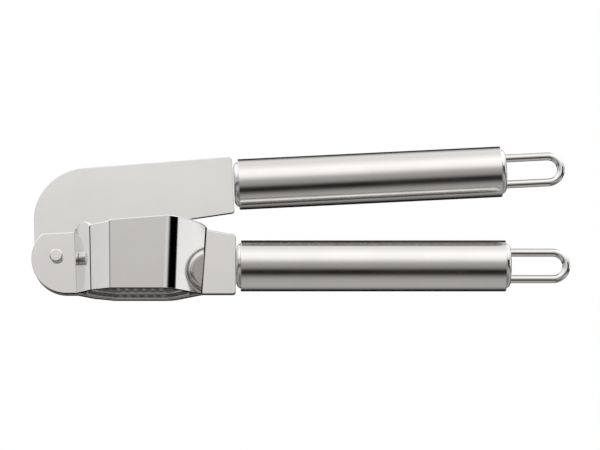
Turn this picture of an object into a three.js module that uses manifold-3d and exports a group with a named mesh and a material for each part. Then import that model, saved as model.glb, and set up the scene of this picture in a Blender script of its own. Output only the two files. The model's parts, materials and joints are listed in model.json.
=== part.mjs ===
// Garlic press: two stainless levers on one pivot, a sieve chamber folded from two cheeks,
// a plunger hung inside it, and a tubular grip with a wire hanging loop on each lever.
// Millimetres. +X runs from the pivot to the grips, +Y to the rear, +Z up, and the press is closed.
// Everything is laid out from the pivot axis, and the last lines set the origin.

import * as THREE from 'three';
import { mergeVertices } from 'three/addons/utils/BufferGeometryUtils.js';
import Module from 'manifold-3d';

const wasm = await Module();
wasm.setup();

// Sheet metal
const SHEET = 1.6; // each cheek
const LEVER_SHEET = 2; // the upper lever's plate
const RUNNING_GAP = 0.3; // beside every piece that moves
const SEAM = 0.3; // between pieces that are welded or pressed together

// Heights above the pivot axis
const BASE = -13.05; // the cheeks' lower edge
const RIM = 12.85; // the highest point of the chamber's rim

// Grips, both alike
const GRIP_RADIUS = 9;
const GRIP_WALL = 0.85;
const GRIP_LENGTH = 93.4;
const CAP_PROUD = 1.6; // how far a cap stands out of its tube
const CAP_DEPTH = 10; // how far a cap reaches into its tube
const TONGUE_LENGTH = 5.2; // the levers' tongues inside the front caps
const TONGUE_HALF = 4;

// Hanging loops, both alike
const WIRE_RADIUS = 1.4;
const LOOP_WIDTH = 12.3; // over the outside of the wire
const LOOP_REACH = 22.7; // from the tube's end to the tip
const WIRE_SOCKET = 8; // how deep the wire's ends sit in the cap

// Lower lever
const LOWER_AXIS_Z = -2.84;
const LOWER_GRIP_X = 64.7;
const TAB_END = 62.9;
const EAR_RADIUS = 12.55;
const EAR_LEFT = -8.85;

// Upper lever, in its own axes: u along its grip from the pivot, v square to it
const UPPER_TILT = THREE.MathUtils.degToRad(2.9);
const UPPER_AXIS_V = 23.35;
const UPPER_GRIP_U = 65;
const UPPER_END_U = 63.1;
const UPPER_END_TOP = 33.45;
const UPPER_END_BOTTOM = 13.15;
const UPPER_UNDERSIDE = THREE.MathUtils.degToRad(5.6); // slope of the plate's lower edge
const UPPER_HEEL_TOP = 31.4; // where the plate's sloping top would meet its upright end
const CROWN_RADIUS = 18.3; // the large round corner over the pivot
const HEEL_RADIUS = 7.8; // the plate's round end about the pivot

// Pins
const PIVOT = { shaft: 1.8, head: 2.3, rise: 2.4 };
const PLUNGER_PIN = { x: 30, z: -1, shaft: 1.7, head: 2.9, rise: 0.9 };
const PIN_FIT = 0.1; // between a pin and the pieces it is riveted to
const PIN_BOSS = 3.8; // metal about the plunger's pin

// Sieve and plunger
const SIEVE_SHEET = 0.8;
const SKIRT_SHEET = 0.7;
const SIEVE_FACE = BASE + 2.5; // underside of the perforated face
const SIEVE_SKIRT = BASE + 0.5; // lower edge of its turned-down skirt
const SIEVE_TIP = 7; // radius of its ends
const HOLE_RADIUS = 0.95;
const HOLE_PITCH = 3.02; // along a row
const HOLES_MIDDLE = 29; // X of the pattern's middle
const HOLE_ROWS = [
  { count: 9, y: 0 },
  { count: 9, y: 2.7 },
  { count: 9, y: 5.4 },
  { count: 6, y: 8.3 },
];
const FOOT_BOTTOM = SIEVE_FACE + SIEVE_SHEET + 0.35;
const FOOT_THICKNESS = 2.4;
const FOOT_CLEARANCE = 0.9; // along the chamber's sides
const FOOT_HEEL = 15.8; // X of its blunt end, set back to pass over the cheeks' arches
const FOOT_HEEL_ROUND = 3;
const FOOT_TIP = 7; // radius of its end at the tab
const BRACKET_SHEET = 1.5;
const BRACKET_HALF_LENGTH = 9;

const THROUGH = 5; // half length of the tools that cut round holes through sheets

// The outer face of a cheek seen from above, at its lower edge and at the rim: ear, steep strip,
// slanted facet, flat facet, broad bend, 45 degree facet and tab. r is the outer bend radius.
const EAR_FACE = LEVER_SHEET / 2 + RUNNING_GAP + SHEET;
const TAB_FACE = SEAM / 2 + SHEET;
const PLAN_BELOW = [
  { x: EAR_LEFT - 1, y: EAR_FACE, r: 0 },
  { x: 7.4, y: EAR_FACE, r: 0.6 },
  { x: 12.4, y: 8.6, r: 4 },
  { x: 19.7, y: 12.6, r: 3 },
  { x: 40.3, y: 12.6, r: 7.5 },
  { x: 51.15, y: TAB_FACE, r: 1.4 },
  { x: TAB_END + TONGUE_LENGTH + 1, y: TAB_FACE, r: 0 },
];
const PLAN_ABOVE = [
  { x: EAR_LEFT - 1, y: EAR_FACE, r: 0 },
  { x: 5.9, y: EAR_FACE, r: 0.6 },
  { x: 11.5, y: 9.3, r: 4 },
  { x: 19.15, y: 13.45, r: 3 },
  { x: 41, y: 13.45, r: 7.5 },
  { x: 52.7, y: TAB_FACE, r: 1.4 },
  { x: TAB_END + TONGUE_LENGTH + 1, y: TAB_FACE, r: 0 },
];

const CHORD = 0.9; // of the rounded corners of outlines

const MIRROR_STEEL = { color: 0xcfcdcb, roughness: 0.12, metalness: 1 };
const SATIN_STEEL = { color: 0xd2d0ce, roughness: 0.3, metalness: 1 };
const BRUSHED_STEEL = { color: 0xbdbab8, roughness: 0.38, metalness: 1 };

// ---- outlines -------------------------------------------------------------------------------

/** Turn at corner b of the path a, b, c: positive to the left. */
function turnAt(a, b, c) {
  const before = Math.atan2(b.y - a.y, b.x - a.x);
  const after = Math.atan2(c.y - b.y, c.x - b.x);
  return Math.atan2(Math.sin(after - before), Math.cos(after - before));
}

/** The points of an arc of radius b.r that rounds corner b, or b itself where b.r is 0. */
function roundCorner(a, b, c, steps) {
  const turn = turnAt(a, b, c);
  if (!b.r || Math.abs(turn) < 1e-3) return [new THREE.Vector2(b.x, b.y)];
  const heading = Math.atan2(b.y - a.y, b.x - a.x);
  const reach = b.r * Math.tan(Math.abs(turn) / 2);
  const side = Math.sign(turn);
  const start = new THREE.Vector2(b.x - reach * Math.cos(heading), b.y - reach * Math.sin(heading));
  const centre = new THREE.Vector2(
    start.x - side * b.r * Math.sin(heading),
    start.y + side * b.r * Math.cos(heading),
  );
  const points = [];
  for (let i = 0; i <= steps; i++) {
    points.push(start.clone().rotateAround(centre, (turn * i) / steps));
  }
  return points;
}

/** Number of steps that keeps an arc's chords under CHORD, within limits. */
function arcSteps(radius, turn) {
  return THREE.MathUtils.clamp(Math.ceil((radius * Math.abs(turn)) / CHORD), 3, 22);
}

/** A closed outline through corners {x, y, r}, as a Shape. */
function outline(corners) {
  const points = corners.flatMap((corner, i) => {
    const before = corners.at(i - 1);
    const after = corners[(i + 1) % corners.length];
    const steps = arcSteps(corner.r, turnAt(before, corner, after));
    return roundCorner(before, corner, after, steps);
  });
  return new THREE.Shape(points);
}

/** The same path moved to the right of its direction by distance, with its bends kept concentric. */
function offsetCorners(corners, distance) {
  return corners.map((corner, i) => {
    const before = corners[i - 1];
    const after = corners[i + 1];
    if (!before || !after) return { ...corner, y: corner.y - distance };
    const turn = turnAt(before, corner, after);
    const heading = Math.atan2(corner.y - before.y, corner.x - before.x) + turn / 2;
    const reach = distance / Math.cos(turn / 2);
    return {
      x: corner.x + reach * Math.sin(heading),
      y: corner.y - reach * Math.cos(heading),
      r: Math.max(corner.r + Math.sign(turn) * distance, 0.2),
    };
  });
}

/** An open path through the plan's corners. Its number of points is the same for every plan. */
function bentPath(corners) {
  const bendSteps = [0, 3, 3, 4, 9, 3, 0];
  return corners.flatMap((corner, i) => {
    if (!bendSteps[i]) return [new THREE.Vector2(corner.x, corner.y)];
    return roundCorner(corners[i - 1], corner, corners[i + 1], bendSteps[i]);
  });
}

/** Where the line from one corner through another meets the middle plane. */
function onMiddle(from, to, r) {
  return { x: to.x - (to.y * (to.x - from.x)) / (to.y - from.y), y: 0, r };
}

/** An outline from its corners on the +Y side, its ends on the middle plane and a mirror image. */
function mirroredOutline(ends, corners) {
  const [left, right] = ends;
  const mirrored = [...corners].reverse().map((c) => ({ ...c, y: -c.y }));
  return outline([...left, ...corners, ...right, ...mirrored]);
}

/** The bends of the chamber's inner face at its lower edge, with a clearance. */
function chamberBends(clearance) {
  const [, ear, strip, facet, broad, tab] = offsetCorners(PLAN_BELOW, SHEET + clearance);
  return { ear, strip, facet, broad, tab };
}

/** The chamber's inside seen from above, with a clearance all round and rounded ends. */
function chamberOutline(clearance, tipRadius) {
  const { ear, strip, facet, broad, tab } = chamberBends(clearance);
  const left = onMiddle(strip, ear, tipRadius);
  const right = onMiddle(broad, tab, tipRadius);
  return mirroredOutline([[left], [right]], [strip, facet, broad]);
}

/** The plunger's foot seen from above: as the chamber, but blunt at the pivot end. */
function footOutline() {
  const { strip, facet, broad, tab } = chamberBends(FOOT_CLEARANCE);
  const share = (FOOT_HEEL - strip.x) / (facet.x - strip.x);
  const heelY = THREE.MathUtils.lerp(strip.y, facet.y, share);
  const heel = { x: FOOT_HEEL, y: heelY, r: FOOT_HEEL_ROUND };
  return mirroredOutline([[], [onMiddle(broad, tab, FOOT_TIP)]], [heel, facet, broad]);
}

// ---- solids ---------------------------------------------------------------------------------

/** A closed geometry as a manifold solid. */
function solidOf(geometry) {
  const bare = geometry.clone();
  bare.deleteAttribute('normal');
  bare.deleteAttribute('uv');
  const merged = mergeVertices(bare, 1e-4);
  return new wasm.Manifold(
    new wasm.Mesh({
      numProp: 3,
      vertProperties: new Float32Array(merged.attributes.position.array),
      triVerts: new Uint32Array(merged.index.array),
    }),
  );
}

/** A manifold solid as a geometry. */
function geometryOf(solid) {
  const mesh = solid.getMesh();
  const geometry = new THREE.BufferGeometry();
  geometry.setAttribute('position', new THREE.BufferAttribute(mesh.vertProperties, 3));
  geometry.setIndex(new THREE.BufferAttribute(mesh.triVerts, 1));
  geometry.computeVertexNormals();
  return geometry;
}

function cut(geometry, ...tools) {
  return geometryOf(tools.reduce((rest, tool) => rest.subtract(solidOf(tool)), solidOf(geometry)));
}

function join(geometry, ...others) {
  return geometryOf(others.reduce((sum, other) => sum.add(solidOf(other)), solidOf(geometry)));
}

function common(geometry, other) {
  return geometryOf(solidOf(geometry).intersect(solidOf(other)));
}

/** A plate with an outline in X and Z, from y0 to y1. */
function plateXZ(shape, y0, y1) {
  const plate = new THREE.ExtrudeGeometry(shape, { depth: y1 - y0, bevelEnabled: false });
  return plate.rotateX(Math.PI / 2).translate(0, y1, 0);
}

/** A plate with an outline in X and Y, from z0 to z1. */
function plateXY(shape, z0, z1) {
  const plate = new THREE.ExtrudeGeometry(shape, { depth: z1 - z0, bevelEnabled: false });
  return plate.translate(0, 0, z0);
}

/** A turned piece. The profile is a list of [radius, distance] and the axis is Y, or X if asked. */
function turned(profile, sides, axis = 'y') {
  const points = profile.map(([radius, along]) => new THREE.Vector2(radius, along));
  const lathe = new THREE.LatheGeometry(points, sides);
  return axis === 'x' ? lathe.rotateZ(-Math.PI / 2) : lathe;
}

/** A tool along Y that cuts a round hole through the sheets. */
function rodY(radius, x, z) {
  return new THREE.CylinderGeometry(radius, radius, 2 * THROUGH, 32).translate(x, 0, z);
}

// ---- lower lever ----------------------------------------------------------------------------

/** A bent sheet standing between two plans with the same number of points. */
function bentSheet() {
  const faces = [PLAN_BELOW, PLAN_ABOVE].flatMap((plan) => [
    bentPath(plan),
    bentPath(offsetCorners(plan, SHEET)),
  ]);
  const count = faces[0].length;
  const position = faces.flatMap((face, i) => face.flatMap((p) => [p.x, p.y, i < 2 ? BASE : RIM]));
  const [outerLow, innerLow, outerHigh, innerHigh] = [0, 1, 2, 3].map((face) => face * count);
  const index = [];
  const quad = (a, b, c, d) => index.push(a, b, c, a, c, d);
  for (let i = 0; i < count - 1; i++) {
    quad(outerLow + i, outerHigh + i, outerHigh + i + 1, outerLow + i + 1);
    quad(innerLow + i, innerLow + i + 1, innerHigh + i + 1, innerHigh + i);
    quad(outerHigh + i, innerHigh + i, innerHigh + i + 1, outerHigh + i + 1);
    quad(outerLow + i, outerLow + i + 1, innerLow + i + 1, innerLow + i);
  }
  const last = count - 1;
  quad(outerLow, innerLow, innerHigh, outerHigh);
  quad(outerLow + last, outerHigh + last, innerHigh + last, innerLow + last);
  const geometry = new THREE.BufferGeometry();
  geometry.setAttribute('position', new THREE.Float32BufferAttribute(position, 3));
  geometry.setIndex(index);
  return geometry;
}

/** A cheek's outline seen from the side: ear, small arch, sloping rim, tab and tongue. */
function cheekOutline() {
  return outline([
    { x: TAB_END, y: BASE, r: 0.9 },
    { x: EAR_LEFT, y: BASE, r: EAR_RADIUS },
    { x: EAR_LEFT, y: 4.07, r: EAR_RADIUS },
    { x: -5.47, y: 8.25, r: 1.6 },
    { x: 6.6, y: 10, r: 0.5 },
    { x: 7.6, y: 11.5, r: 1.7 },
    { x: 11, y: 11.6, r: 1.7 },
    { x: 11.5, y: 9.9, r: 0.2 },
    { x: 21.3, y: 11.4, r: 0 },
    { x: 38.3, y: RIM, r: 4 },
    { x: 47.4, y: 12.6, r: 6 },
    { x: 52.5, y: 11.6, r: 1.4 },
    { x: 53, y: 9.9, r: 0.3 },
    { x: TAB_END, y: 8.1, r: 0.9 },
    { x: TAB_END, y: LOWER_AXIS_Z + TONGUE_HALF, r: 0 },
    { x: TAB_END + TONGUE_LENGTH, y: LOWER_AXIS_Z + TONGUE_HALF, r: 0.6 },
    { x: TAB_END + TONGUE_LENGTH, y: LOWER_AXIS_Z - TONGUE_HALF, r: 0.6 },
    { x: TAB_END, y: LOWER_AXIS_Z - TONGUE_HALF, r: 0 },
  ]);
}

/** The rear cheek. The front one is its mirror image. */
function cheek() {
  const blank = common(bentSheet(), plateXZ(cheekOutline(), 0, 2 * GRIP_RADIUS));
  return cut(blank, rodY(PIVOT.shaft + PIN_FIT, 0, 0));
}

function mirrorY(geometry) {
  const mirrored = geometry.clone().scale(1, -1, 1);
  const index = mirrored.index.array;
  for (let i = 0; i < index.length; i += 3) [index[i], index[i + 1]] = [index[i + 1], index[i]];
  mirrored.computeVertexNormals();
  return mirrored;
}

/** Centres of the sieve's holes: straight rows, and a shorter staggered row at each long side. */
function holeCentres() {
  return HOLE_ROWS.flatMap(({ count, y }) =>
    Array.from({ length: count }, (_, i) => {
      const x = HOLES_MIDDLE + (i - (count - 1) / 2) * HOLE_PITCH;
      return y ? [[x, y], [x, -y]] : [[x, 0]];
    }).flat(),
  );
}

/** The sieve: a perforated face with a skirt turned down all round. */
function sieve() {
  const face = chamberOutline(SEAM, SIEVE_TIP);
  for (const [x, y] of holeCentres()) {
    const hole = new THREE.Path().absarc(x, y, HOLE_RADIUS, 0, 2 * Math.PI);
    face.holes.push(new THREE.Path(hole.getPoints(5).slice(0, -1)));
  }
  const plate = plateXY(face, SIEVE_FACE, SIEVE_FACE + SIEVE_SHEET);
  const block = plateXY(chamberOutline(SEAM, SIEVE_TIP), SIEVE_SKIRT, SIEVE_FACE + SIEVE_SHEET / 2);
  const inside = chamberOutline(SEAM + SKIRT_SHEET, SIEVE_TIP - SKIRT_SHEET);
  const hollow = plateXY(inside, SIEVE_SKIRT - SIEVE_SHEET, SIEVE_FACE + SIEVE_SHEET);
  return join(plate, cut(block, hollow));
}

/** A rivet through a stack of half thickness reach, with a soft-edged head on each side. */
function rivet({ shaft, head, rise }, reach) {
  const seat = reach + PIN_FIT;
  const side = [
    [shaft, seat],
    [head, seat],
    [head, seat + rise - 0.5],
    [head - 0.15, seat + rise - 0.15],
    [head - 0.5, seat + rise],
    [0, seat + rise],
  ];
  const lower = [...side].reverse().map(([radius, along]) => [radius, -along]);
  return turned([...lower, ...side], 32);
}

// ---- grips ----------------------------------------------------------------------------------

/** The grip's tube along X from the origin, with softened ends. */
function gripTube() {
  const inner = GRIP_RADIUS - GRIP_WALL;
  const soft = 0.3;
  const profile = [
    [inner, 0],
    [GRIP_RADIUS - soft, 0],
    [GRIP_RADIUS, soft],
    [GRIP_RADIUS, GRIP_LENGTH - soft],
    [GRIP_RADIUS - soft, GRIP_LENGTH],
    [inner, GRIP_LENGTH],
    [inner, 0],
  ];
  return turned(profile, 48, 'x');
}

/** A plug cap whose rounded end stands out of the tube towards -X, with its face at -CAP_PROUD. */
function capPlug() {
  const radius = GRIP_RADIUS - GRIP_WALL - 0.15;
  const round = [0, 1, 2, 3, 4].map((i) => {
    const angle = (i / 4) * (Math.PI / 2);
    return [radius - CAP_PROUD * (1 - Math.sin(angle)), -CAP_PROUD * Math.cos(angle)];
  });
  const profile = [[0, -CAP_PROUD], ...round, [radius, CAP_DEPTH], [0, CAP_DEPTH]];
  return turned(profile, 40, 'x');
}

/** The cap at the lever end, with a slot for the lever's tongue of a given thickness. */
function frontCap(thickness) {
  const slotDepth = TONGUE_LENGTH + 1;
  const slot = new THREE.BoxGeometry(slotDepth + 1, thickness + 2 * SEAM, 2 * TONGUE_HALF + 2 * SEAM);
  slot.translate(-CAP_PROUD - 1 + (slotDepth + 1) / 2, 0, 0);
  return cut(capPlug(), slot);
}

/** The cap at the far end, with two sockets for the wire. */
function endCap() {
  const spread = LOOP_WIDTH / 2 - WIRE_RADIUS;
  const sockets = [-spread, spread].map((z) => {
    const hole = new THREE.CylinderGeometry(WIRE_RADIUS + 0.25, WIRE_RADIUS + 0.25, 2 * WIRE_SOCKET, 24);
    return hole.rotateZ(Math.PI / 2).translate(0, 0, z);
  });
  return cut(capPlug(), ...sockets).rotateZ(Math.PI).translate(GRIP_LENGTH, 0, 0);
}

/** The U-shaped wire along X, its ends in the cap's sockets. */
function hangingLoop() {
  const spread = LOOP_WIDTH / 2 - WIRE_RADIUS;
  const straight = LOOP_REACH - LOOP_WIDTH / 2;
  const inside = SEAM - WIRE_SOCKET; // the wire stops short of its socket's end
  const path = new THREE.CurvePath();
  const at = (x, z) => new THREE.Vector3(GRIP_LENGTH + x, 0, z);
  const bend = ((4 * (Math.SQRT2 - 1)) / 3) * spread; // makes each Bezier curve a quarter circle
  path.add(new THREE.LineCurve3(at(inside, -spread), at(straight, -spread)));
  path.add(
    new THREE.CubicBezierCurve3(
      at(straight, -spread),
      at(straight + bend, -spread),
      at(straight + spread, -bend),
      at(straight + spread, 0),
    ),
  );
  path.add(
    new THREE.CubicBezierCurve3(
      at(straight + spread, 0),
      at(straight + spread, bend),
      at(straight + bend, spread),
      at(straight, spread),
    ),
  );
  path.add(new THREE.LineCurve3(at(straight, spread), at(inside, spread)));
  const section = new THREE.Shape().absarc(0, 0, WIRE_RADIUS, 0, 2 * Math.PI);
  return new THREE.ExtrudeGeometry(section, { extrudePath: path, steps: 40, curveSegments: 6 });
}

// ---- upper lever and plunger ----------------------------------------------------------------

/** The upper lever's plate in its own axes, with the hole for its pin at pin. */
function leverPlate(pin) {
  const bottomAt = (u) => UPPER_END_BOTTOM - (UPPER_END_U - u) * Math.tan(UPPER_UNDERSIDE);
  const noseLeft = pin.x - PIN_BOSS;
  const noseRight = pin.x + PIN_BOSS;
  const noseBottom = pin.y - PIN_BOSS;
  const noseRound = PIN_BOSS - 0.2;
  const noseTop = noseRight + 3.5;
  const shape = outline([
    { x: -HEEL_RADIUS, y: UPPER_HEEL_TOP, r: CROWN_RADIUS },
    { x: UPPER_END_U, y: UPPER_END_TOP, r: 1 },
    { x: UPPER_END_U, y: UPPER_AXIS_V + TONGUE_HALF, r: 0 },
    { x: UPPER_END_U + TONGUE_LENGTH, y: UPPER_AXIS_V + TONGUE_HALF, r: 0.6 },
    { x: UPPER_END_U + TONGUE_LENGTH, y: UPPER_AXIS_V - TONGUE_HALF, r: 0.6 },
    { x: UPPER_END_U, y: UPPER_AXIS_V - TONGUE_HALF, r: 0 },
    { x: UPPER_END_U, y: UPPER_END_BOTTOM, r: 0.9 },
    { x: noseTop, y: bottomAt(noseTop), r: 3 },
    { x: noseRight, y: noseBottom, r: noseRound },
    { x: noseLeft, y: noseBottom, r: noseRound },
    { x: noseLeft - 2, y: 3.5, r: 3 },
    { x: HEEL_RADIUS + 1, y: 0.5, r: 3 },
    { x: HEEL_RADIUS - 1, y: -HEEL_RADIUS, r: 6 },
    { x: -HEEL_RADIUS, y: -HEEL_RADIUS, r: HEEL_RADIUS },
  ]);
  const half = LEVER_SHEET / 2;
  return cut(
    plateXZ(shape, -half, half),
    rodY(PIVOT.shaft + RUNNING_GAP, 0, 0),
    rodY(PLUNGER_PIN.shaft + RUNNING_GAP, pin.x, pin.y),
  );
}

/** The plunger's foot: a thick plate that fills the chamber over the sieve. */
function plungerFoot() {
  return plateXY(footOutline(), FOOT_BOTTOM, FOOT_BOTTOM + FOOT_THICKNESS);
}

/** The bracket on the foot: a base with a lug on each side of the lever's plate. */
function plungerBracket() {
  const { x, z, shaft } = PLUNGER_PIN;
  const floor = FOOT_BOTTOM + FOOT_THICKNESS + PIN_FIT;
  const inner = LEVER_SHEET / 2 + RUNNING_GAP;
  const outer = inner + BRACKET_SHEET;
  const ends = [x - BRACKET_HALF_LENGTH, x + BRACKET_HALF_LENGTH];
  const lugRound = PIN_BOSS - 0.4;
  const lug = outline([
    { x: ends[0], y: floor, r: 0.5 },
    { x: ends[0], y: floor + BRACKET_SHEET, r: 0.5 },
    { x: x - PIN_BOSS, y: z + PIN_BOSS, r: lugRound },
    { x: x + PIN_BOSS, y: z + PIN_BOSS, r: lugRound },
    { x: ends[1], y: floor + BRACKET_SHEET, r: 0.5 },
    { x: ends[1], y: floor, r: 0.5 },
  ]);
  const room = 30; // larger than the lugs
  const gap = new THREE.BoxGeometry(room, 2 * inner, room);
  gap.translate(x, 0, floor + BRACKET_SHEET + room / 2);
  return cut(plateXZ(lug, -outer, outer), gap, rodY(shaft + PIN_FIT, x, z));
}

// ---- assembly -------------------------------------------------------------------------------

/** A named mesh with a material of its own. */
function piece(name, geometry, look) {
  const mesh = new THREE.Mesh(geometry, new THREE.MeshStandardMaterial(look));
  mesh.name = name;
  return mesh;
}

/** A grip with its tube's lever end at the group's origin. */
function grip(side, tongueThickness) {
  const group = new THREE.Group();
  group.add(
    piece(`${side}_front_cap`, frontCap(tongueThickness), SATIN_STEEL),
    piece(`${side}_grip_tube`, gripTube(), BRUSHED_STEEL),
    piece(`${side}_end_cap`, endCap(), SATIN_STEEL),
    piece(`${side}_hanging_loop`, hangingLoop(), MIRROR_STEEL),
  );
  return group;
}

function lowerLever() {
  const rear = cheek();
  const group = new THREE.Group();
  const lowerGrip = grip('lower', 2 * TAB_FACE);
  lowerGrip.position.set(LOWER_GRIP_X, 0, LOWER_AXIS_Z);
  group.add(
    piece('front_cheek', mirrorY(rear), MIRROR_STEEL),
    piece('rear_cheek', rear, MIRROR_STEEL),
    piece('sieve', sieve(), MIRROR_STEEL),
    piece('pivot_rivet', rivet(PIVOT, EAR_FACE), SATIN_STEEL),
    lowerGrip,
  );
  return group;
}

function upperLever() {
  const group = new THREE.Group();
  const pin = new THREE.Vector2(PLUNGER_PIN.x, PLUNGER_PIN.z);
  pin.rotateAround(new THREE.Vector2(), -UPPER_TILT);
  const upperGrip = grip('upper', LEVER_SHEET);
  upperGrip.position.set(UPPER_GRIP_U, 0, UPPER_AXIS_V);
  group.add(piece('upper_lever_plate', leverPlate(pin), SATIN_STEEL), upperGrip);
  group.rotation.y = -UPPER_TILT;
  return group;
}

function plunger() {
  const group = new THREE.Group();
  const reach = LEVER_SHEET / 2 + RUNNING_GAP + BRACKET_SHEET;
  const pin = rivet(PLUNGER_PIN, reach);
  pin.translate(PLUNGER_PIN.x, 0, PLUNGER_PIN.z);
  group.add(
    piece('plunger_foot', plungerFoot(), SATIN_STEEL),
    piece('plunger_bracket', plungerBracket(), SATIN_STEEL),
    piece('plunger_rivet', pin, SATIN_STEEL),
  );
  return group;
}

const layout = new THREE.Group();
layout.add(lowerLever(), upperLever(), plunger());

// The origin is the middle of the closed press's underside.
const press = new THREE.Group();
press.add(layout);
press.updateMatrixWorld(true);
const bounds = new THREE.Box3().setFromObject(press, true);
layout.position.set(-(bounds.min.x + bounds.max.x) / 2, 0, -bounds.min.z);

export default press;
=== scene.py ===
"""The looks of the garlic press: polished and brushed stainless steel in a pale studio.

Shapes are worked out in millimetres from the pivot axis, in each lever's own axes, and each piece
is then placed in the frame, which is in metres. +X runs to the grips, +Y to the rear and +Z up.
"""

import json
import math

import bmesh
import bpy
import numpy as np
from mathutils import Matrix, Vector
from mathutils.geometry import delaunay_2d_cdt


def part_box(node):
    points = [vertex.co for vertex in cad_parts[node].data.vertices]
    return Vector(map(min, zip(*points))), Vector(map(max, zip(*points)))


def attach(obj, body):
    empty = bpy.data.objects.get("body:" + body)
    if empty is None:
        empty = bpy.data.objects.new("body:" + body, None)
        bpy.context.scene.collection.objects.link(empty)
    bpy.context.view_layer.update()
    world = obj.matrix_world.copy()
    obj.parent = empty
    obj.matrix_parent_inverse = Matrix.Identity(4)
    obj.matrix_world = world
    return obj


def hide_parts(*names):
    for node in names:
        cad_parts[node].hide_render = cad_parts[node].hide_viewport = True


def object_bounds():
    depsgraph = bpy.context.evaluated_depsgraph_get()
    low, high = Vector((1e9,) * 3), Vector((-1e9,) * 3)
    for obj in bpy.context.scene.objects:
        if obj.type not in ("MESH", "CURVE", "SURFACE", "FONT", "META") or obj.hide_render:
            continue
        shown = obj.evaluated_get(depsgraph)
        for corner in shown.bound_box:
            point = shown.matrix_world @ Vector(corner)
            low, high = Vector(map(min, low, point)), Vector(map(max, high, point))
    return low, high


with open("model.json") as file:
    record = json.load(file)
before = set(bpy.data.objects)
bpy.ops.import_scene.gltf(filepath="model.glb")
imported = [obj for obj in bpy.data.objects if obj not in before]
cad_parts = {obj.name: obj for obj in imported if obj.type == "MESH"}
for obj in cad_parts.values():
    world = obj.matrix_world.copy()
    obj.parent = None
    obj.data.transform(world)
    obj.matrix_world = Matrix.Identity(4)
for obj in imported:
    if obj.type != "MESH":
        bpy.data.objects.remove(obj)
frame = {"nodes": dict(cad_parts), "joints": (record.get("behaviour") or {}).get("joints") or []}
cad_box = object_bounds()

MM = 0.001  # metres

# Sheet metal and gaps
SHEET = 1.6  # each cheek
LEVER_SHEET = 2.0
EDGE = 0.08  # rounding of the sheets' cut edges
RIM_EDGE = 0.5  # and of those that face up, which are polished rounder
RIM_START, RIM_SPAN = -0.2, 0.8  # upward part of an edge's normal over which that comes in
EAR_FACE = 2.9
TAB_FACE = 1.75
SEAM = 0.3

# Heights from the pivot axis
BASE = -13.05
RIM = 12.85

# The cheek's outer face seen from above as (x, distance from the middle, bend radius)
PLAN_BELOW = [(-9.85, EAR_FACE, 0), (7.4, EAR_FACE, 0.6), (12.4, 8.6, 4), (19.7, 12.6, 3),
              (40.3, 12.6, 7.5), (51.15, TAB_FACE, 1.4), (69.1, TAB_FACE, 0)]
PLAN_ABOVE = [(-9.85, EAR_FACE, 0), (5.9, EAR_FACE, 0.6), (11.5, 9.3, 4), (19.15, 13.45, 3),
              (41, 13.45, 7.5), (52.7, TAB_FACE, 1.4), (69.1, TAB_FACE, 0)]
BEND_STEPS = [0, 8, 8, 8, 24, 8, 0]
FLAT_STEPS = [6, 3, 4, 8, 6, 6]
SHADING_REACH = 0.35  # path points to each side that a bend's shading is taken from

# The cheek seen from the side as (x, z, corner radius), anticlockwise
CHEEK_OUTLINE = [
    (62.9, 8.1, 0.9), (53, 9.9, 0.4), (52.5, 11.6, 1.4), (47.4, 12.6, 6), (38.3, RIM, 4),
    (21.3, 11.4, 60), (11.5, 9.9, 0.4), (11, 11.6, 1.7), (7.6, 11.5, 1.7), (6.6, 10, 0.5),
    (-5.47, 8.25, 1.6), (-8.85, 4.07, 12.55), (-8.85, BASE, 12.55), (62.9, BASE, 0.9),
]

# The upper lever's plate in the lever's own axes, anticlockwise
PIN = (29.91, -2.52)  # the plunger's pin
PIVOT_HOLE = 2.1  # radius
PIN_HOLE = 2.0
PLATE_OUTLINE = [
    (63.1, 13.15, 0.9), (63.1, 33.45, 1), (-7.8, 31.4, 18.3), (-7.8, -7.8, 7.8),
    (6.8, -7.8, 6), (8.8, 0.5, 3), (24.1, 3.5, 3), (26.1, -6.3, 3.6), (33.7, -6.3, 3.6),
    (37.2, 10.61, 3),
]

# Rivets as (node, body, height of each head, softness of its edge)
RIVETS = [("pivot_rivet", "lower_lever", 2.4, 0.45), ("plunger_rivet", "plunger", 0.9, 0.7)]
HEAD_OVERHANG = 0.5  # past the shaft; at the plunger's pin this makes the shaft wider than its hole

# Grips and loops
GRIP_SOFT = 0.4
TUBE_WALL = 0.85
BORE_SOFT = 0.25
CAP_ROUND = 2.1
CAP_PROUD = 1.6  # outside the tube
CAP_DEPTH = 10.0  # inside it
CAP_SOFT = 0.3
WIRE_SIDES = 40
WIRE_SUNK = 1.0  # how far the wire runs into the tube

# Sieve
SIEVE_SHEET = 0.8
SKIRT_SHEET = 0.7
SIEVE_TIP = 7.0  # radius of its ends
SIEVE_FILLET = 0.4  # where the skirt meets the underside of the face
SIEVE_EDGE = 0.2
HOLE_RADIUS = 0.95
HOLE_PITCH = 3.02
HOLES_MIDDLE = 29
HOLE_ROWS = [(9, 0), (9, -2.7), (9, 2.7), (9, -5.4), (9, 5.4), (6, -8.3), (6, 8.3)]

# Plunger's foot
FOOT_CLEARANCE = 0.9  # from the chamber's walls
FOOT_HEEL_ROUND = 3
FOOT_TIP = 7
FOOT_EDGE = 0.3

# Studio
STUDIO_STRENGTH = 1.24
FLOOR_HALF, FLOOR_CELLS = 2.5, 10  # metres and squares
FLOOR_DROP = 0.1  # millimetres under the press


# ---- paths and outlines ----------------------------------------------------------------------

def heading(a, b):
    return math.atan2(b[1] - a[1], b[0] - a[0])


def turn_between(first, second):
    return (second - first + math.pi) % (2 * math.pi) - math.pi


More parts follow.
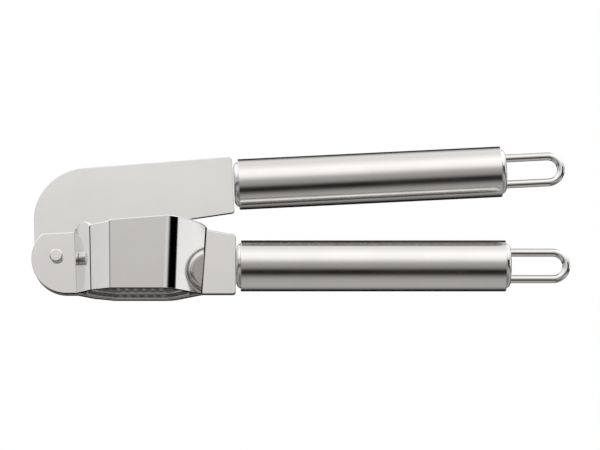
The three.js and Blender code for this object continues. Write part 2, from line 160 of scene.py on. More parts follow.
def corner_arc(before, corner, after, steps):
    """Points on the arc that rounds a corner, each with the normal to the right of the path."""
    x, y, radius = corner
    first = heading(before, corner)
    turn = turn_between(first, heading(corner, after))
    reach = radius * math.tan(abs(turn) / 2)
    side = math.copysign(1, turn)
    centre_x = x - reach * math.cos(first) - side * radius * math.sin(first)
    centre_y = y - reach * math.sin(first) + side * radius * math.cos(first)
    arc = []
    for step in range(steps + 1):
        along = first + turn * step / steps
        right = (math.sin(along), -math.cos(along))
        point = (centre_x + side * radius * right[0], centre_y + side * radius * right[1])
        arc.append((point, right))
    return arc


def rounded(corners, chord=0.3, closed=True):
    """The path through corners (x, y, radius) as (point, normal to the right) pairs."""
    path = []
    for i, corner in enumerate(corners):
        if not closed and i == 0:
            along = heading(corner, corners[1])
        elif not closed and i == len(corners) - 1:
            along = heading(corners[i - 1], corner)
        else:
            before, after = corners[i - 1], corners[(i + 1) % len(corners)]
            turn = turn_between(heading(before, corner), heading(corner, after))
            steps = max(3, math.ceil(corner[2] * abs(turn) / chord))
            path += corner_arc(before, corner, after, min(steps, 60))
            continue
        path.append(((corner[0], corner[1]), (math.sin(along), -math.cos(along))))
    return path


def circle(x, y, radius, steps):
    """A hole's edge, clockwise, with normals pointing out of the metal."""
    path = []
    for step in range(steps):
        angle = -2 * math.pi * step / steps
        right = (-math.cos(angle), -math.sin(angle))
        path.append(((x - radius * right[0], y - radius * right[1]), right))
    return path


# ---- building meshes -------------------------------------------------------------------------

class Skin:
    """Points in millimetres, their normals, and faces, while a piece is being built."""

    def __init__(self):
        self.points, self.normals, self.faces, self.kinds = [], [], [], []

    def ring(self, pairs):
        start = len(self.points)
        for point, normal in pairs:
            self.points.append(Vector(point))
            self.normals.append(Vector(normal).normalized())
        return list(range(start, len(self.points)))

    def bridge(self, a, b, kind=0):
        for i in range(len(a)):
            j = (i + 1) % len(a)
            corners = [a[i], a[j], b[j], b[i]]
            corners = [c for k, c in enumerate(corners) if c != corners[k - 1]]
            if len(corners) > 2:
                self.faces.append(corners)
                self.kinds.append(kind)

    def fill(self, loops, upward, kind=0):
        """Triangles over the first loop less the others, in the plane of the first two axes."""
        flat = [i for loop in loops for i in loop]
        spots = [Vector((self.points[i].x, self.points[i].y)) for i in flat]
        rims, start = [], 0
        for loop in loops:
            rims += [(start + i, start + (i + 1) % len(loop)) for i in range(len(loop))]
            start += len(loop)
        found = delaunay_2d_cdt(spots, rims, [], 0, 1e-7)
        triangles = [[found[3][i][0] for i in t] for t in found[2] if all(found[3][i] for i in t)]
        corners = np.array([[spots[i] for i in triangle] for triangle in triangles])
        middles = corners.mean(axis=1)
        ends = np.array([[spots[a], spots[b]] for a, b in rims])
        crossings = np.zeros(len(middles), int)
        for (ax, ay), (bx, by) in ends:
            spans = (ay > middles[:, 1]) != (by > middles[:, 1])
            slope = (bx - ax) / (by - ay) if by != ay else 0
            crossings += spans & (middles[:, 0] < ax + (middles[:, 1] - ay) * slope)
        for triangle, inside in zip(triangles, crossings % 2):
            if inside:
                a, b, c = (flat[i] for i in triangle)
                self.faces.append([a, b, c] if upward else [a, c, b])
                self.kinds.append(kind)

    def mapped(self, place):
        """Every point and normal through place(point, normal)."""
        moved = [place(p, n) for p, n in zip(self.points, self.normals)]
        self.points = [p for p, _ in moved]
        self.normals = [n for _, n in moved]
        return self

    def volume(self):
        total = 0.0
        for face in self.faces:
            a = self.points[face[0]]
            for b, c in zip(face[1:-1], face[2:]):
                total += a.dot(self.points[b].cross(self.points[c]))
        return total / 6

    def mesh(self, name):
        """A mesh in metres, facing outward, shaded by the normals worked out for it."""
        flipped = self.volume() < 0
        faces = [face[::-1] if flipped else face for face in self.faces]
        mesh = bpy.data.meshes.new(name)
        mesh.from_pydata([p * MM for p in self.points], [], faces)
        mesh.polygons.foreach_set("material_index", self.kinds)
        mesh.polygons.foreach_set("use_smooth", [True] * len(faces))
        mesh.validate()
        mesh.normals_split_custom_set_from_vertices([n.to_tuple() for n in self.normals])
        return mesh


def edge_section(low, high, radius=EDGE, rim_radius=None, steps=5):
    """A plate's edge from its lower face to its upper one, as functions of a point's normal."""
    rim_radius = rim_radius or radius

    def at(normal, angle, from_low):
        rise = min(max((normal[1] - RIM_START) / RIM_SPAN, 0), 1)
        size = radius + (rim_radius - radius) * rise * rise * (3 - 2 * rise)
        depth = size * (1 - math.cos(angle))
        height, up = (low + depth, -1) if from_low else (high - depth, 1)
        return size * (1 - math.sin(angle)), height, math.sin(angle), up * math.cos(angle)

    angles = [math.pi / 2 * step / steps for step in range(steps + 1)]
    ways = [(angle, True) for angle in angles] + [(angle, False) for angle in reversed(angles)]
    return [lambda normal, way=way: at(normal, *way) for way in ways]


def plate(outline, holes, section, hole_section, place=None, hole_kind=0, under_kind=0):
    """A plate in the plane of the first two axes, with rounded edges.

    An outline is a list of (point, normal), or a function that gives one for an inset. place
    moves the outlines' points before the faces are filled.
    """
    skin = Skin()
    first, last = [], []
    for number, loop in enumerate([outline, *holes]):
        previous = None
        for at in hole_section if number else section:
            ring = []
            moving = callable(loop)
            for p, n in loop(at(None)[0]) if moving else loop:
                inset, height, out, up = at(n)
                inset = 0 if moving else inset
                point = (p[0] - n[0] * inset, p[1] - n[1] * inset, height)
                ring.append((point, (n[0] * out, n[1] * out, up)))
            ring = skin.ring(ring)
            if previous is None:
                first.append(ring)
            else:
                skin.bridge(previous, ring, hole_kind if number else 0)
            previous = ring
        last.append(previous)
    if place:
        skin.points = [place(p) for p in skin.points]
    skin.fill(first, False, under_kind)
    skin.fill(last, True)
    return skin


def lathe(path, sides, closed):
    """A turned piece about X from a path of ((along, radius), normal) pairs."""
    skin = Skin()
    rings = []
    for (along, radius), (normal_x, normal_r) in path:
        if radius < 1e-6:
            rings.append(skin.ring([((along, 0, 0), (normal_x, 0, 0))]) * sides)
            continue
        turns = [2 * math.pi * i / sides for i in range(sides)]
        rings.append(skin.ring([
            ((along, radius * math.cos(a), radius * math.sin(a)),
             (normal_x, normal_r * math.cos(a), normal_r * math.sin(a)))
            for a in turns
        ]))
    for a, b in zip(rings, rings[1:] + rings[:1] if closed else rings[1:]):
        skin.bridge(a, b)
    return skin


def sweep(path, radius, sides):
    """A round wire along a path of (point, direction) pairs in X and Z."""
    skin = Skin()
    rings = []
    for point, direction in path:
        across = Vector((-direction.z, 0, direction.x))
        ring = []
        for i in range(sides):
            angle = 2 * math.pi * i / sides
            out = across * math.cos(angle) + Vector((0, 1, 0)) * math.sin(angle)
            ring.append((point + out * radius, out))
        rings.append(skin.ring(ring))
    for a, b in zip(rings, rings[1:]):
        skin.bridge(a, b)
    for ring, (point, direction), sign in ((rings[0], path[0], -1), (rings[-1], path[-1], 1)):
        middle = skin.ring([(point, direction * sign)]) * sides
        if sign < 0:
            skin.bridge(middle, ring)
        else:
            skin.bridge(ring, middle)
    return skin


def show(skin, name, body, slot, materials, matrix, *stands_for):
    """The finished piece, placed in the frame, riding on its body."""
    piece = bpy.data.objects.new(name, skin.mesh(name))
    bpy.context.scene.collection.objects.link(piece)
    piece.matrix_world = matrix
    for material in materials:
        piece.data.materials.append(material)
    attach(piece, body)
    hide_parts(*stands_for)
    return piece


# ---- materials -------------------------------------------------------------------------------

def linear(*levels):
    """Display levels from 0 to 255 as a linear colour."""
    values = [level / 255 for level in levels]
    return tuple(v / 12.92 if v < 0.04045 else ((v + 0.055) / 1.055) ** 2.4 for v in values) + (1,)


class Nodes:
    """Adds nodes to a tree and links them."""

    def __init__(self, tree):
        self.tree = tree
        tree.nodes.clear()

    def add(self, kind, settings=None, **inputs):
        node = self.tree.nodes.new("ShaderNode" + kind)
        for key, value in (settings or {}).items():
            setattr(node, key, value)
        for key, value in inputs.items():
            self.set(node, key.replace("_", " "), value)
        return node

    def set(self, node, key, value):
        socket = node.inputs[int(key)] if str(key).isdigit() else node.inputs[key]
        if isinstance(value, bpy.types.NodeSocket):
            self.tree.links.new(value, socket)
        else:
            socket.default_value = value

    def math(self, operation, first, second=0.0):
        node = self.add("Math", {"operation": operation})
        self.set(node, 0, first)
        self.set(node, 1, second)
        return node.outputs[0]

    def scaled(self, vector, scale):
        node = self.add("VectorMath", {"operation": "MULTIPLY"})
        self.set(node, 0, vector)
        self.set(node, 1, scale)
        return node.outputs[0]

    def range(self, value, low, high, to_low, to_high, smooth=False):
        node = self.add("MapRange", {"interpolation_type": "SMOOTHSTEP" if smooth else "LINEAR"})
        for i, level in enumerate((value, low, high, to_low, to_high)):
            self.set(node, i, level)
        return node.outputs[0]

    def mix(self, share, first, second):
        node = self.add("Mix", {"data_type": "RGBA"})
        self.set(node, 0, share)
        self.set(node, 6, first)
        self.set(node, 7, second)
        return node.outputs[2]

    def ramp(self, value, stops):
        node = self.add("ValToRGB")
        ramp = node.color_ramp
        ramp.interpolation = "LINEAR"
        while len(ramp.elements) > 1:
            ramp.elements.remove(ramp.elements[-1])
        ramp.elements[0].position, ramp.elements[0].color = stops[0]
        for position, colour in stops[1:]:
            ramp.elements.new(position).color = colour
        self.set(node, 0, value)
        return node.outputs[0]


WEAR = 0.03  # roughness added along worn edges


def steel(name, colour, roughness, spread, grain, grain_depth, wave_depth, anisotropy=0.0):
    """Stainless steel. grain is the scratches' (x, y, z) frequency per metre."""
    material = bpy.data.materials.new(name)
    material.use_nodes = True
    nodes = Nodes(material.node_tree)
    place = nodes.add("TexCoord").outputs["Object"]
    scratched = nodes.scaled(place, grain)
    streaks = nodes.add("TexNoise", Vector=scratched, Scale=1.0, Detail=3.0).outputs[0]
    smudges = nodes.add("TexNoise", Vector=place, Scale=55.0, Detail=4.0, Roughness=0.6).outputs[0]
    waves = nodes.add("TexNoise", Vector=place, Scale=38.0, Detail=1.0).outputs[0]
    streaky = nodes.range(streaks, 0.3, 0.7, -0.5, 0.5)
    smudgy = nodes.range(smudges, 0.35, 0.7, 0.0, 1.0, True)

    edges = nodes.add("Bevel", {"samples": 4}, Radius=0.5 * MM).outputs[0]
    facing = nodes.add("VectorMath", {"operation": "DOT_PRODUCT"})
    nodes.set(facing, 0, edges)
    nodes.set(facing, 1, nodes.add("NewGeometry").outputs["Normal"])
    worn = nodes.range(facing.outputs["Value"], 0.995, 0.93, 0.0, WEAR)

    rough = nodes.math("ADD", roughness, nodes.math("MULTIPLY", streaky, spread))
    rough = nodes.math("ADD", rough, nodes.math("MULTIPLY", smudgy, spread * 0.7))
    rough = nodes.math("ADD", rough, worn)
    dark = tuple(c * 0.93 for c in colour[:3]) + (1,)
    tone = nodes.mix(nodes.math("MULTIPLY", smudgy, 0.35), colour, dark)

    wave_bump = nodes.add("Bump", Strength=1.0, Distance=wave_depth * MM, Height=waves)
    grain_bump = nodes.add(
        "Bump", Strength=1.0, Distance=grain_depth * MM, Height=streaks, Normal=wave_bump.outputs[0]
    )
    tangent = nodes.add("Tangent", {"direction_type": "RADIAL", "axis": "X"})
    shader = nodes.add(
        "BsdfPrincipled", Base_Color=tone, Metallic=1.0, Roughness=rough, IOR=1.5,
        Normal=grain_bump.outputs[0], Tangent=tangent.outputs[0],
    )
    shader.inputs["Anisotropic"].default_value = anisotropy
    output = nodes.add("OutputMaterial")
    nodes.set(output, "Surface", shader.outputs[0])
    return material


STEEL = (0.86, 0.85, 0.838, 1)
polished = steel("polished_steel", STEEL, 0.07, 0.02, (420, 420, 2600), 0.00012, 0.0012)
satin = steel("satin_steel", (0.89, 0.882, 0.87, 1), 0.15, 0.05, (300, 2200, 2200), 0.0003, 0.0006)
brushed = steel("brushed_steel", STEEL, 0.15, 0.05, (60, 6000, 6000), 0.0004, 0.0003, 0.3)
sheared = steel("sheared_edge", (0.36, 0.35, 0.34, 1), 0.55, 0.1, (900, 900, 4000), 0.002, 0.001)
inside = steel("inside_steel", (0.9, 0.89, 0.875, 1), 0.3, 0.08, (500, 500, 2200), 0.0006, 0.001)
# The sieve's underside: steel with a dark base colour, which is painted shade for the shadow under
# the sieve, not a duller finish.
painted_shade_steel = steel("painted_shade_underside", (0.2, 0.195, 0.19, 1), 0.1, 0.04, (500, 500, 900), 0.0003, 0.0006)


# ---- placing ---------------------------------------------------------------------------------

joints = {joint["name"]: joint for joint in frame["joints"]}
pivot = Vector(joints["lever_pivot"]["pos_m"])
lower_tube, upper_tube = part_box("lower_grip_tube"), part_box("upper_grip_tube")
grip_size = (lower_tube[1] - lower_tube[0]) / MM
GRIP_LENGTH, GRIP_RADIUS = grip_size.x, grip_size.y / 2

# The tilted tube's height fixes its tilt, because both grips are alike.
upper_height = (upper_tube[1].z - upper_tube[0].z) / MM
TILT = math.asin(upper_height / math.hypot(GRIP_LENGTH, 2 * GRIP_RADIUS)) - math.atan2(
    2 * GRIP_RADIUS, GRIP_LENGTH
)
tilted = Matrix.Rotation(-TILT, 4, "Y")
lower_place = Matrix.Translation(pivot)
upper_place = Matrix.Translation(pivot) @ tilted


def grip_place(box, turn):
    """The matrix of a grip whose axes start in the middle of its tube's lever end."""
    middle = (box[0] + box[1]) / 2
    return Matrix.Translation(middle) @ turn @ Matrix.Translation((-GRIP_LENGTH / 2 * MM, 0, 0))


lower_grip = grip_place(lower_tube, Matrix.Identity(4))
upper_grip = grip_place(upper_tube, tilted)


# ---- cheeks ----------------------------------------------------------------------------------

def plan_path(plan):
    """The plan's path as points, with the same number of points for every plan."""
    arcs = []
    for i, corner in enumerate(plan):
        if BEND_STEPS[i]:
            arcs.append([p for p, _ in corner_arc(plan[i - 1], corner, plan[i + 1], BEND_STEPS[i])])
        else:
            arcs.append([corner[:2]])
    path = []
    for arc, following, steps in zip(arcs, arcs[1:], FLAT_STEPS):
        path += arc
        start, end = np.array(arc[-1]), np.array(following[0])
        path += [tuple(start + (end - start) * step / steps) for step in range(1, steps)]
    return np.array(path + arcs[-1])


path_low, path_high = plan_path(PLAN_BELOW), plan_path(PLAN_ABOVE)


def path_at(z):
    share = (z - BASE) / (RIM - BASE)
    return path_low * (1 - share) + path_high * share


def unrolled(point):
    """A point (x, z, height) with the plan path's point number in place of x."""
    along = np.interp(point.x, path_at(point.y)[:, 0], range(len(path_low)))
    return Vector((float(along), point.y, point.z))


def split_at_bends(skin):
    """The unrolled sheet cut along every line of the plan path, so that it can bend there."""
    bm = bmesh.new()
    layer = bm.verts.layers.float_vector.new("shade")
    verts = []
    for point, normal in zip(skin.points, skin.normals):
        vert = bm.verts.new(point)
        vert[layer] = normal
        verts.append(vert)
    for face, kind in zip(skin.faces, skin.kinds):
        bm.faces.new([verts[i] for i in face]).material_index = kind
    for column in range(1, len(path_low) - 1):
        bmesh.ops.bisect_plane(
            bm, geom=[*bm.verts, *bm.edges, *bm.faces], dist=1e-5,
            plane_co=(column, 0, 0), plane_no=(1, 0, 0),
        )
    bmesh.ops.triangulate(bm, faces=[f for f in bm.faces if len(f.verts) > 4])
    bm.verts.index_update()
    split = Skin()
    split.points = [v.co.copy() for v in bm.verts]
    split.normals = [v[layer].copy() for v in bm.verts]
    split.faces = [[v.index for v in f.verts] for f in bm.faces]
    split.kinds = [f.material_index for f in bm.faces]
    bm.free()
    return split


def plan_point(along, z):
    i = min(int(along), len(path_low) - 2)
    path = path_at(z)
    x, y = path[i] + (path[i + 1] - path[i]) * (along - i)
    return Vector((x, y, z))


def bent(point, normal):
    """A point and normal of the unrolled sheet, on the rear cheek."""
    along, z, height = point
    low, high = max(along - SHADING_REACH, 0), min(along + SHADING_REACH, len(path_low) - 1)
    forward = (plan_point(high, z) - plan_point(low, z)).normalized()
    upward = (plan_point(along, RIM) - plan_point(along, BASE)).normalized()
    outward = upward.cross(forward).normalized()
    if outward.y < 0:
        outward.negate()
    surface = plan_point(along, z) + outward * (height - SHEET)
    shaded = forward * normal.x + upward * normal.y + outward * normal.z
    return surface, shaded.normalized()


def cheek_skin(side):
    outline = rounded(CHEEK_OUTLINE, 0.4)
    section = edge_section(0, SHEET, EDGE, RIM_EDGE)
    flat = plate(outline, [], section, section, unrolled, under_kind=1)
    skin = split_at_bends(flat).mapped(bent)
    flip = Vector((1, side, 1))
    return skin.mapped(lambda p, n: (p * flip, n * flip))


for side, node in ((-1, "front_cheek"), (1, "rear_cheek")):
    show(cheek_skin(side), node + "_steel", "lower_lever", "polished_steel", [polished, inside],
         lower_place, node)


# ---- sieve -----------------------------------------------------------------------------------

def offset_corners(plan, distance):
    """The plan moved towards the middle plane by distance, with its bends kept concentric."""
    moved = []
    for before, corner, after in zip(plan, plan[1:], plan[2:]):
        first = heading(before, corner)
        turn = turn_between(first, heading(corner, after))
        middle = first + turn / 2
        reach = distance / math.cos(turn / 2)
        moved.append((
            corner[0] + reach * math.sin(middle), corner[1] - reach * math.cos(middle),
            max(corner[2] + math.copysign(distance, turn), 0.2),
        ))
    return moved


def on_middle(start, end, radius):
    """Where the line from one corner through another meets the middle plane."""
    return (end[0] - end[1] * (end[0] - start[0]) / (end[1] - start[1]), 0, radius)


def chamber_outline(clearance, tip):
    """The chamber's inside seen from above, anticlockwise."""
    ear, strip, facet, broad, tab = offset_corners(PLAN_BELOW, SHEET + clearance)
    rear = [strip, facet, broad]
    front = [(x, -y, radius) for x, y, radius in rear]
    return [on_middle(strip, ear, tip), *front, on_middle(broad, tab, tip), *reversed(rear)]


def hole_centres():
    return [
        (HOLES_MIDDLE + (i - (count - 1) / 2) * HOLE_PITCH, y)
        for count, y in HOLE_ROWS for i in range(count)
    ]


def sieve_section(skirt, face):
    """The turned-down skirt from the underside of the face, round its lower edge, to the top."""
    lip = SKIRT_SHEET / 2 - 0.01  # its radius, just under half the sheet
    outer = SIEVE_FILLET + SKIRT_SHEET
    section = []
    for step in range(7):
        angle = math.pi / 2 * step / 6
        section.append((SKIRT_SHEET - SIEVE_FILLET * math.sin(angle) + SIEVE_FILLET,
                        face - SIEVE_FILLET * (1 - math.cos(angle)),
                        -math.sin(angle), -math.cos(angle)))
    for step in range(9):
        angle = math.pi * step / 8
        section.append((SKIRT_SHEET / 2 + lip * math.cos(angle),
                        skirt + lip - lip * math.sin(angle),
                        -math.cos(angle), -math.sin(angle)))
    for step in range(9):
        angle = math.pi / 2 * step / 8
        section.append((outer * (1 - math.cos(angle)),
                        face + SIEVE_SHEET - outer * (1 - math.sin(angle)),
                        math.cos(angle), math.sin(angle)))
    return [lambda normal, level=level: level for level in section]


sieve_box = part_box("sieve")
skirt_z, sieve_top = ((corner.z - pivot.z) / MM for corner in sieve_box)
sieve_face = sieve_top - SIEVE_SHEET


def sieve_outline(inset):
    corners = chamber_outline(SEAM + inset, SIEVE_TIP - inset)
    loop = []
    for i, corner in enumerate(corners):
        loop += corner_arc(corners[i - 1], corner, corners[(i + 1) % len(corners)], 20)
    return loop


sieve_holes = [circle(x, y, HOLE_RADIUS, 24) for x, y in hole_centres()]
# The sieve's underside takes the third material, whose dark base colour is painted shade.
show(
    plate(sieve_outline, sieve_holes, sieve_section(skirt_z, sieve_face),
          edge_section(sieve_face, sieve_top, SIEVE_EDGE), hole_kind=1, under_kind=2),
    "sieve_steel", "lower_lever", "polished_steel", [polished, sheared, painted_shade_steel], lower_place,
    "sieve",
)


# ---- lever plate and rivets ------------------------------------------------------------------

def standing(point, normal):
    """From a plate lying in X and Y to one standing in X and Z."""
    return Vector((point.x, -point.z, point.y)), Vector((normal.x, -normal.z, normal.y))


plate_section = edge_section(-LEVER_SHEET / 2, LEVER_SHEET / 2, EDGE, RIM_EDGE / 2)
show(
    plate(rounded(PLATE_OUTLINE, 0.4),
          [circle(0, 0, PIVOT_HOLE, 48), circle(*PIN, PIN_HOLE, 48)],
          plate_section, plate_section).mapped(standing),
    "lever_plate_steel", "upper_lever", "satin_steel", [satin], upper_place, "upper_lever_plate",
)


def rivet_skin(box, rise, softness):
    """A rivet about Y from its node's box: a shaft with a soft-edged head at each end."""
    size = (box[1] - box[0]) / MM
    reach, head = size.y / 2, size.x / 2
    seat, shaft = reach - rise, head - HEAD_OVERHANG
    side = [(reach, 0.0, 0), (reach, head, softness), (seat, head, 0.08), (seat, shaft, 0.15)]
    mirrored = [(-along, radius, r) for along, radius, r in reversed(side)]
    return lathe(rounded(side + mirrored, 0.12, False), 64, False)


along_y = Matrix.Rotation(math.pi / 2, 4, "Z")
for node, body, rise, softness in RIVETS:
    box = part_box(node)
    show(rivet_skin(box, rise, softness), node + "_steel", body, "satin_steel", [satin],
         Matrix.Translation((box[0] + box[1]) / 2) @ along_y, node)


# ---- grips -----------------------------------------------------------------------------------

def tube_skin():
    bore = GRIP_RADIUS - TUBE_WALL
    corners = [(0, bore, BORE_SOFT), (GRIP_LENGTH, bore, BORE_SOFT),
               (GRIP_LENGTH, GRIP_RADIUS, GRIP_SOFT), (0, GRIP_RADIUS, GRIP_SOFT)]
    return lathe(rounded(corners, 0.1), 128, True)


def cap_skin(box):
    """A plug cap with its rounded face towards -X, as wide as its node's box."""
    size = (box[1] - box[0]) / MM
    radius = size.y / 2
    corners = [(CAP_DEPTH, 0.0, 0), (CAP_DEPTH, radius, CAP_SOFT),
               (-CAP_PROUD, radius, CAP_ROUND), (-CAP_PROUD, 0.0, 0)]
    return lathe(rounded(corners, 0.15, False), 96, False)


def loop_skin(box):
    """The U of wire, from inside the cap round the tip and back, with the tube's end at 0."""
    size = (box[1] - box[0]) / MM
    wire = size.y / 2
    spread = size.z / 2 - wire
    tip = (box[1].x - lower_tube[1].x) / MM
    straight = tip - wire - spread
    legs = [-WIRE_SUNK, *np.linspace(1, straight, 8)[:-1]]
    path = [(Vector((x, 0, -spread)), Vector((1, 0, 0))) for x in legs]
    for step in range(33):
        angle = math.pi * step / 32 - math.pi / 2
        path.append((Vector((straight + spread * math.cos(angle), 0, spread * math.sin(angle))),
                     Vector((-math.sin(angle), 0, math.cos(angle)))))
    path += [(Vector((x, 0, spread)), Vector((-1, 0, 0))) for x in reversed(legs)]
    return sweep(path, wire, WIRE_SIDES)


far_end = Matrix.Translation((GRIP_LENGTH * MM, 0, 0))
turned_round = Matrix.Rotation(math.pi, 4, "Z")
lower_cap, lower_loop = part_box("lower_end_cap"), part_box("lower_hanging_loop")
for lever, place in (("lower", lower_grip), ("upper", upper_grip)):
    body = lever + "_lever"
    show(tube_skin(), lever + "_grip_steel", body, "brushed_steel", [brushed], place,
         lever + "_grip_tube")
    show(cap_skin(lower_cap), lever + "_front_cap_steel", body, "satin_steel", [satin], place,
         lever + "_front_cap")
    show(cap_skin(lower_cap), lever + "_end_cap_steel", body, "satin_steel", [satin],
         place @ far_end @ turned_round, lever + "_end_cap")
    show(loop_skin(lower_loop), lever + "_loop_steel", body, "polished_steel", [polished],
         place @ far_end, lever + "_hanging_loop")


# ---- plunger ---------------------------------------------------------------------------------

def foot_outline(box):
    """The plunger's foot seen from above: as the chamber, but blunt at the pivot end."""
    heel = (box[0].x - pivot.x) / MM
    _, strip, facet, broad, tab = offset_corners(PLAN_BELOW, SHEET + FOOT_CLEARANCE)
    share = (heel - strip[0]) / (facet[0] - strip[0])
    corner = (heel, strip[1] + (facet[1] - strip[1]) * share, FOOT_HEEL_ROUND)
    rear = [corner, facet, broad]
    front = [(x, -y, radius) for x, y, radius in rear]
    return [*front, on_middle(broad, tab, FOOT_TIP), *reversed(rear)]


foot_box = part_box("plunger_foot")
foot_low, foot_high = ((corner.z - pivot.z) / MM for corner in foot_box)
foot_section = edge_section(foot_low, foot_high, FOOT_EDGE)
show(
    plate(rounded(foot_outline(foot_box), 0.5), [], foot_section, foot_section),
    "plunger_foot_steel", "plunger", "satin_steel", [inside], lower_place, "plunger_foot",
)
bracket = frame["nodes"]["plunger_bracket"]
bracket.data.materials.clear()
bracket.data.materials.append(inside)


# ---- studio ----------------------------------------------------------------------------------

scene = bpy.context.scene
scene.view_settings.view_transform = "Standard"


def grey(level, warmth=0):
    return linear(min(level + warmth, 255), level, level - warmth)


def studio_world():
    """White behind the object, and round it a studio of soft boxes and dark cards."""
    world = bpy.data.worlds.new("studio")
    world.use_nodes = True
    nodes = Nodes(world.node_tree)
    direction = nodes.add("SeparateXYZ", Vector=nodes.add("TexCoord").outputs["Generated"]).outputs
    x, y, z = direction[0], direction[1], direction[2]
    forward = nodes.math("MULTIPLY", y, -1.0)

    # The band straight across the press: 0.5 is level in front, 0.75 overhead and 0.25 underneath.
    ring = nodes.math("DIVIDE", nodes.math("ARCTAN2", z, forward), 2 * math.pi)
    ring = nodes.math("ADD", ring, 0.5)
    stops = [
        (-180, 0), (-158, 4), (-150, 30), (-133, 122), (-118, 160), (-78, 154), (-64, 134),
        (-56, 98), (-50, 60), (-43, 24), (-38, 18), (-33, 30), (-28, 70), (-23, 110), (-17, 134),
        (-8, 146), (2, 158), (7, 181), (9.5, 190), (12.4, 204), (17, 220), (22, 233), (30, 243),
        (47, 248), (64, 230), (78, 214), (104, 214), (112, 200), (122, 128), (132, 30), (138, 0),
        (180, 0),
    ]
    band = nodes.ramp(ring, [(0.5 + angle / 360, grey(level, 1.5)) for angle, level in stops])

    # Round the sides, by compass bearing: dark cards that the chamber's bends reflect.
    bearing = nodes.math("DIVIDE", nodes.math("ARCTAN2", x, forward), 2 * math.pi)
    bearing = nodes.math("ADD", bearing, 0.5)
    cards = [
        (-180, 20), (-150, 40), (-130, 130), (-108, 204), (-77, 204), (-75.4, 2), (-64.2, 2),
        (-62.4, 207), (-52, 207), (-36, 130), (-24, 170), (-10, 206), (12, 208), (24, 198),
        (30, 165), (36, 60), (40, 0), (77, 0), (81, 70), (84, 160), (86.5, 232), (94, 244),
        (112, 238), (128, 130), (150, 40), (180, 20),
    ]
    card = nodes.ramp(bearing, [(0.5 + angle / 360, grey(level)) for angle, level in cards])

    # Elevation over the sides: soft light above, a pale table below.
    high = nodes.math("DIVIDE", nodes.math("ARCSINE", z), math.pi)
    high = nodes.math("ADD", high, 0.5)
    rise = [(-90, 60), (-48, 105), (-22, 165), (-8, 70), (1, 50), (8, 120), (24, 205), (40, 252),
            (62, 252), (90, 190)]
    room = nodes.ramp(high, [(0.5 + angle / 180, grey(level)) for angle, level in rise])

    card_height = nodes.math("MULTIPLY", nodes.range(z, -0.02, 0.06, 0, 1, True),
                             nodes.range(z, 0.36, 0.30, 0, 1, True))
    sides = nodes.mix(card_height, room, card)
    sideways = nodes.range(nodes.math("ABSOLUTE", x), 0.16, 0.34, 0, 1, True)
    studio = nodes.mix(sideways, band, sides)

    lit = nodes.add("Background", Color=studio, Strength=STUDIO_STRENGTH)
    white = nodes.add("Background", Color=(1, 1, 1, 1), Strength=1.0)
    seen = nodes.add("LightPath").outputs["Is Camera Ray"]
    both = nodes.add("MixShader")
    nodes.set(both, 0, seen)
    nodes.set(both, 1, lit.outputs[0])
    nodes.set(both, 2, white.outputs[0])
    nodes.set(nodes.add("OutputWorld"), "Surface", both.outputs[0])
    scene.world = world


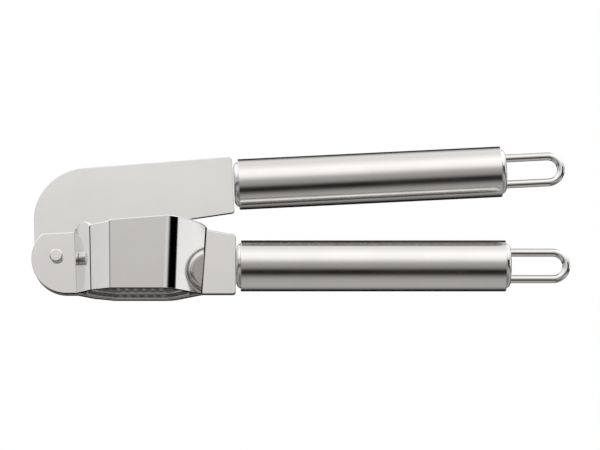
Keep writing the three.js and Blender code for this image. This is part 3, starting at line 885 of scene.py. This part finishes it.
def floor_material():
    """Pale and matt from above, fading to white far off, and not there from below."""
    material = bpy.data.materials.new("pale_floor")
    material.use_nodes = True
    nodes = Nodes(material.node_tree)
    place = nodes.add("TexCoord").outputs["Object"]
    mottle = nodes.add("TexNoise", Vector=place, Scale=9.0, Detail=3.0).outputs[0]
    mottled = nodes.range(mottle, 0.3, 0.7, 0, 1)
    tone = nodes.mix(mottled, (0.80, 0.80, 0.80, 1), (0.83, 0.83, 0.83, 1))
    matt = nodes.add("BsdfDiffuse", Color=tone)
    white = nodes.add("Emission", Color=(1, 1, 1, 1), Strength=1.0)
    far = nodes.add("VectorMath", {"operation": "LENGTH"})
    nodes.set(far, 0, place)
    fade = nodes.range(far.outputs["Value"], 0.15, 0.75, 0, 1, True)
    above = nodes.add("MixShader")
    nodes.set(above, 0, fade)
    nodes.set(above, 1, matt.outputs[0])
    nodes.set(above, 2, white.outputs[0])
    clear = nodes.add("BsdfTransparent")
    shown = nodes.add("MixShader")
    nodes.set(shown, 0, nodes.add("NewGeometry").outputs["Backfacing"])
    nodes.set(shown, 1, above.outputs[0])
    nodes.set(shown, 2, clear.outputs[0])
    nodes.set(nodes.add("OutputMaterial"), "Surface", shown.outputs[0])
    return material


def floor_mesh(half, cells):
    mesh = bpy.data.meshes.new("floor")
    steps = np.linspace(-half, half, cells + 1)
    points = [(x, y, 0) for y in steps for x in steps]
    row = cells + 1
    faces = [
        (j * row + i, j * row + i + 1, (j + 1) * row + i + 1, (j + 1) * row + i)
        for j in range(cells) for i in range(cells)
    ]
    mesh.from_pydata(points, [], faces)
    return mesh


studio_world()
floor = bpy.data.objects.new("floor", floor_mesh(FLOOR_HALF, FLOOR_CELLS))
scene.collection.objects.link(floor)
floor.location.z = cad_box[0].z - FLOOR_DROP * MM
floor.visible_glossy = False
floor.data.materials.append(floor_material())


def soft_light(name, location, size, power):
    light = bpy.data.lights.new(name, "AREA")
    light.shape, light.size, light.energy = "DISK", size, power
    lamp = bpy.data.objects.new(name, light)
    scene.collection.objects.link(lamp)
    lamp.location = location
    lamp.rotation_mode = "QUATERNION"
    lamp.rotation_quaternion = (-Vector(location)).to_track_quat("-Z", "Y")
    lamp.visible_glossy = False


soft_light("overhead", (-0.15, -0.25, 0.9), 0.5, 6.0)

# Camera: square to the press's side and a little below it
CAMERA_DISTANCE = 0.9
CAMERA_DROP = math.radians(12.5)
CAMERA_WIDTH = 0.2122  # metres across the picture at the press
AIM_LEFT, AIM_DOWN = 0.0004, 0.0017  # metres from the middle of the press
centre = (cad_box[0] + cad_box[1]) / 2
target = Vector((centre.x - AIM_LEFT, 0, centre.z - AIM_DOWN))
back = Vector((0, -math.cos(CAMERA_DROP), -math.sin(CAMERA_DROP)))
camera = bpy.data.objects.new("camera", bpy.data.cameras.new("camera"))
scene.collection.objects.link(camera)
camera.data.lens = camera.data.sensor_width * CAMERA_DISTANCE / CAMERA_WIDTH
camera.location = target + back * CAMERA_DISTANCE
camera.rotation_mode = "QUATERNION"
camera.rotation_quaternion = (-back).to_track_quat("-Z", "Y")
camera.data.clip_start, camera.data.clip_end = 0.01, 20
scene.camera = camera
